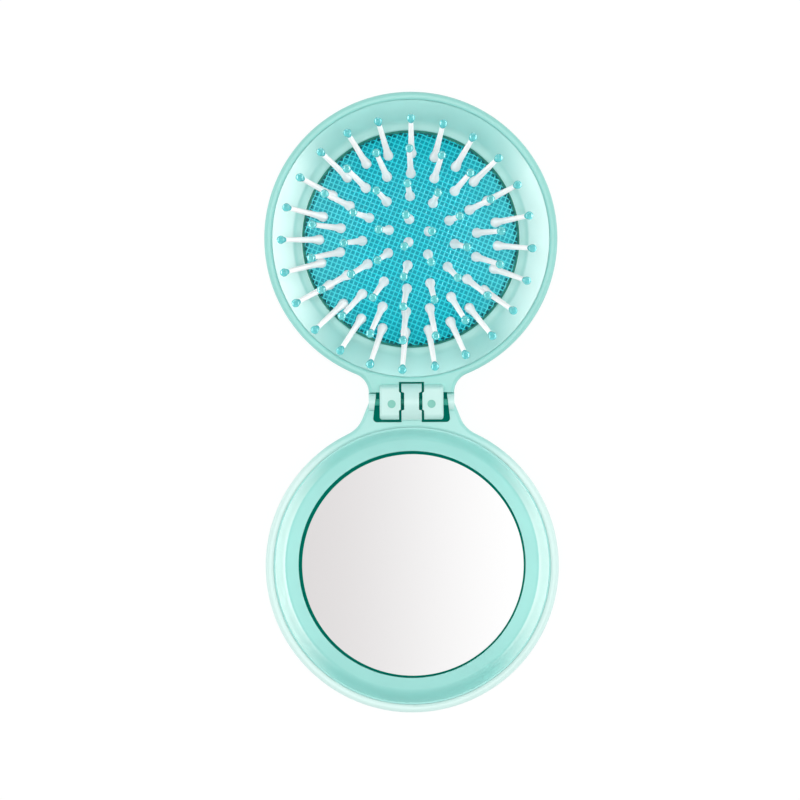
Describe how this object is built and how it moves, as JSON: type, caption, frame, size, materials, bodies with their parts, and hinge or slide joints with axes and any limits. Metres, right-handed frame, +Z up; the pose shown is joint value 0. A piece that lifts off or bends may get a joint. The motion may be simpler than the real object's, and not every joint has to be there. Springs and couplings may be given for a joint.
{
  "type": "folding hairbrush with mirror",
  "caption": "Round folding pocket hairbrush: ball-tipped bristles on a domed net-covered cushion in one shell, a round mirror in the other, joined by an interleaved hinge.",
  "frame": {"origin": "on the table, straight under the middle of the hinge axis, which is the middle of the bottom of the open brush", "axes": "+X along the hinge axis, +Y from the hinge towards the brush half, +Z up out of the bristles and the mirror"},
  "size_m": [0.07, 0.1482, 0.032],
  "materials": {
    "shell_plastic": "satin moulded mint green plastic",
    "carrier_plastic": "plain moulded plastic of the carrier and the hinge pin",
    "cushion_rubber": "soft teal rubber",
    "cover_net": "woven turquoise net",
    "bristle_nylon": "smooth white nylon",
    "tip_resin": "glossy translucent teal resin",
    "adhesive_foam": "thin foam mounting pad",
    "silvered_glass": "silvered glass with a fine bevel"
  },
  "bodies": {
    "brush_half": {"brush_case": "shell_plastic", "funnel_ring": "shell_plastic"},
    "bristle_pad": {"bristle_carrier": "carrier_plastic", "push_button": "shell_plastic", "cushion": "cushion_rubber", "cushion_cover": "cover_net", "bristles_centre": "bristle_nylon", "bristles_ring_1": "bristle_nylon", "bristles_ring_2": "bristle_nylon", "bristles_ring_3": "bristle_nylon", "bristles_ring_4": "bristle_nylon", "tips_centre": "tip_resin", "tips_ring_1": "tip_resin", "tips_ring_2": "tip_resin", "tips_ring_3": "tip_resin", "tips_ring_4": "tip_resin"},
    "mirror_half": {"mirror_case": "shell_plastic", "mirror_bezel": "shell_plastic", "mirror_adhesive": "adhesive_foam", "mirror_glass": "silvered_glass", "hinge_pin": "carrier_plastic"}
  },
  "joints": [
    {"name": "lid_fold", "type": "hinge", "parent": "brush_half", "child": "mirror_half", "pos_m": [0, 0, 0.017], "axis": [-1, 0, 0], "range_deg": [0, 180]},
    {"name": "pad_retract", "type": "slide", "parent": "brush_half", "child": "bristle_pad", "axis": [0, 0, -1], "range_m": [0, 0.0061]}
  ],
  "couplings": [
    {"joint": "pad_retract", "follows": "lid_fold", "m_per_rad": 0.00194}
  ]
}
